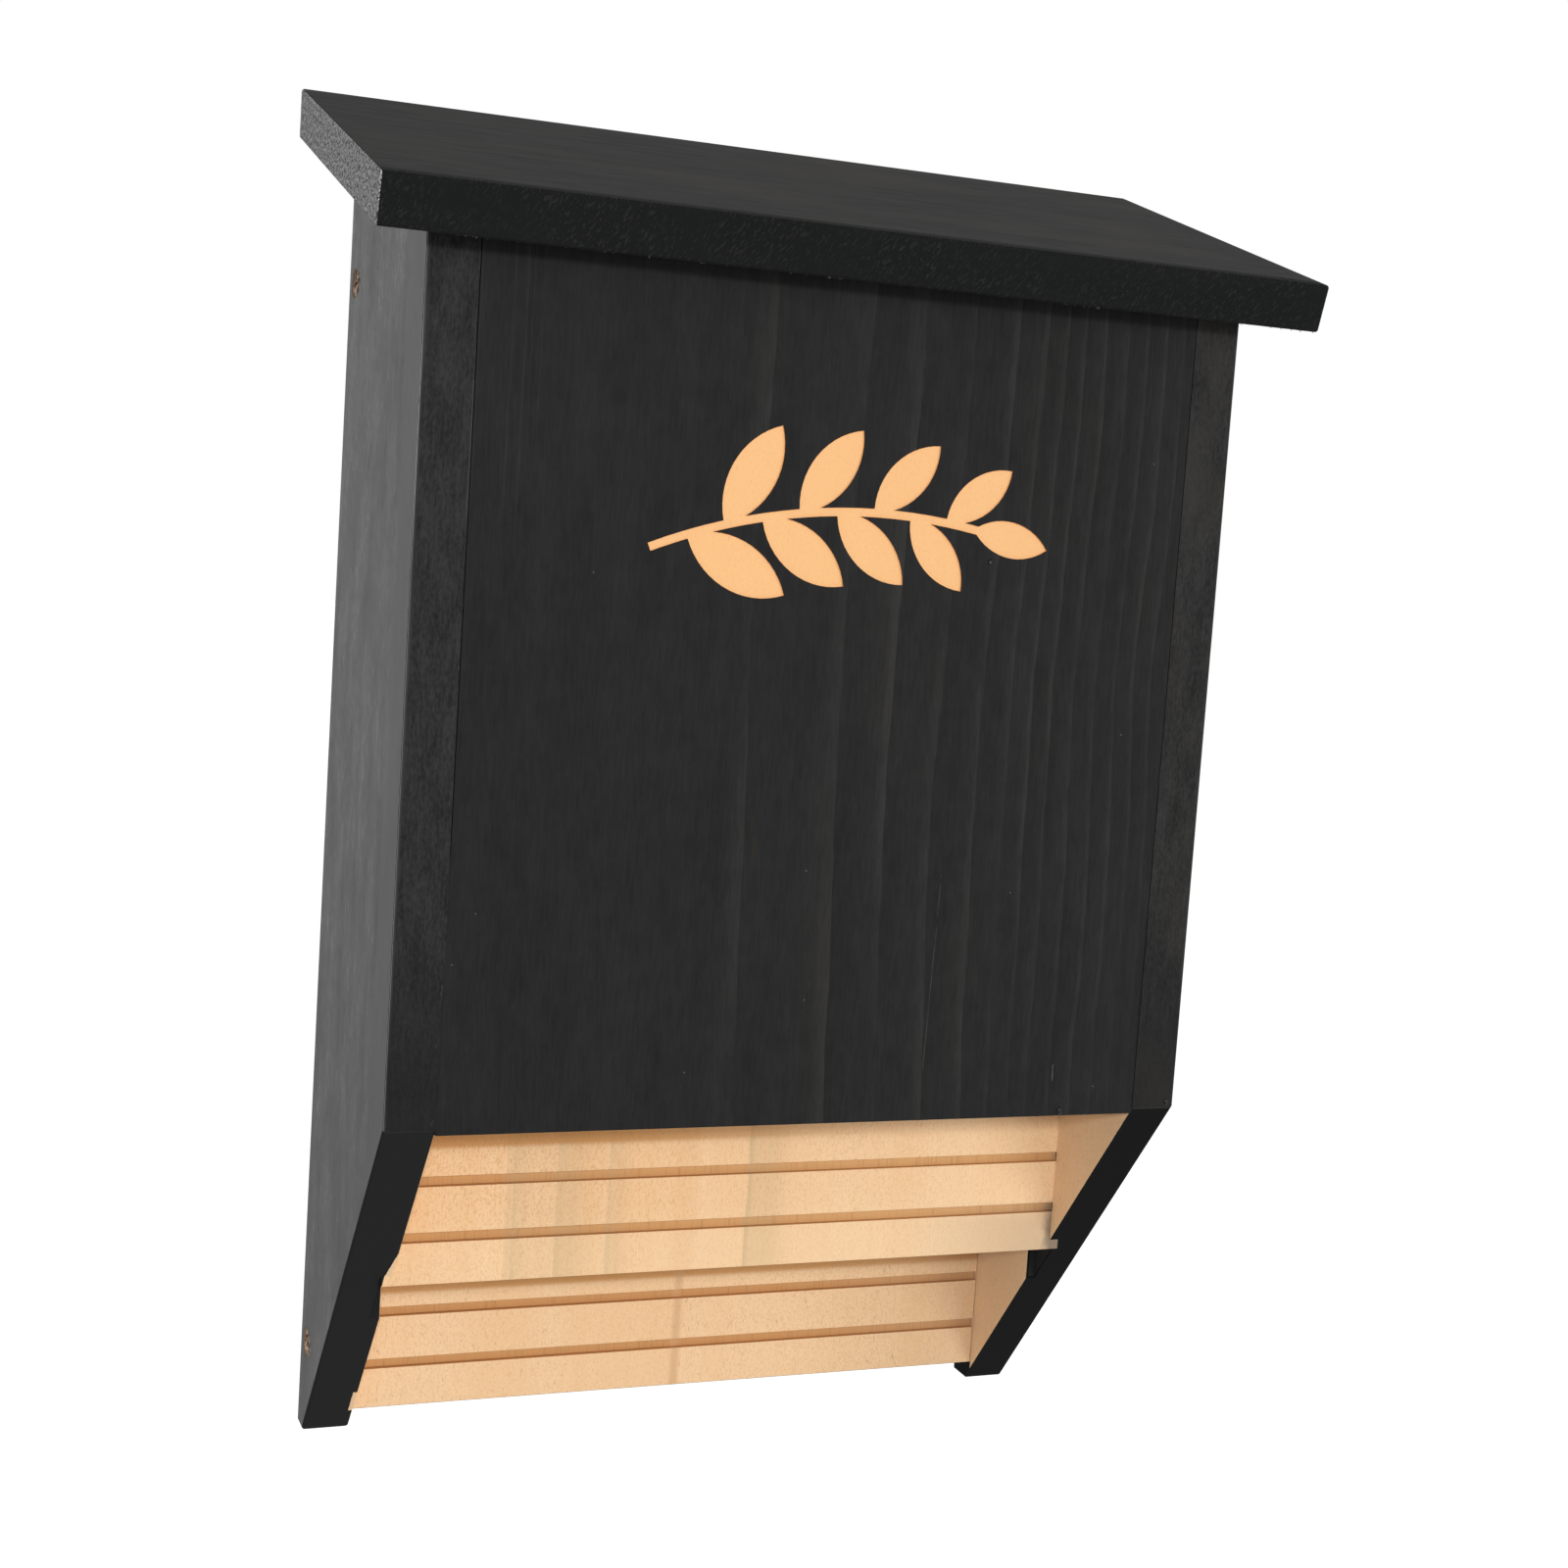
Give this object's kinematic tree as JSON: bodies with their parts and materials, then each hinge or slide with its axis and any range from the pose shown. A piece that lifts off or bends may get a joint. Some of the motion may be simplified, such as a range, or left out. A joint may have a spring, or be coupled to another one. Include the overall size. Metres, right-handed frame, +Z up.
{
  "type": "bat box",
  "caption": "Wall bat box of black boards with a sloping overhanging roof, slanted lower sides, an inner partition, saw kerfs for grip on raw inner boards, and keyhole slots in the back.",
  "frame": {"origin": "in the wall plane, midway between the mouths of the two keyhole slots in the back panel", "axes": "+X across the box to the right seen from the front, +Y into the wall, +Z up"},
  "size_m": [0.3, 0.1357, 0.4417],
  "materials": {
    "black_board": "matt black stain on softwood, raw inside faces",
    "raw_board": "sawn and planed softwood, unfinished",
    "screw_metal": "yellow zinc plated steel",
    "brad_metal": "bright"
  },
  "bodies": {
    "root": {"left_side": "black_board", "right_side": "black_board", "front_panel": "black_board", "partition": "raw_board", "back_panel": "raw_board", "roof": "black_board", "back_screw_left_1": "screw_metal", "back_screw_left_2": "screw_metal", "back_screw_right_1": "screw_metal", "back_screw_right_2": "screw_metal", "front_brad_left_1": "brad_metal", "front_brad_left_2": "brad_metal", "front_brad_left_3": "brad_metal", "front_brad_right_1": "brad_metal", "front_brad_right_2": "brad_metal", "front_brad_right_3": "brad_metal", "partition_brad_left_1": "brad_metal", "partition_brad_left_2": "brad_metal", "partition_brad_right_1": "brad_metal", "partition_brad_right_2": "brad_metal", "roof_brad_left_1": "brad_metal", "roof_brad_left_2": "brad_metal", "roof_brad_left_3": "brad_metal", "roof_brad_right_1": "brad_metal", "roof_brad_right_2": "brad_metal", "roof_brad_right_3": "brad_metal", "roof_brad_front_1": "brad_metal", "roof_brad_front_2": "brad_metal"}
  },
  "joints": []
}
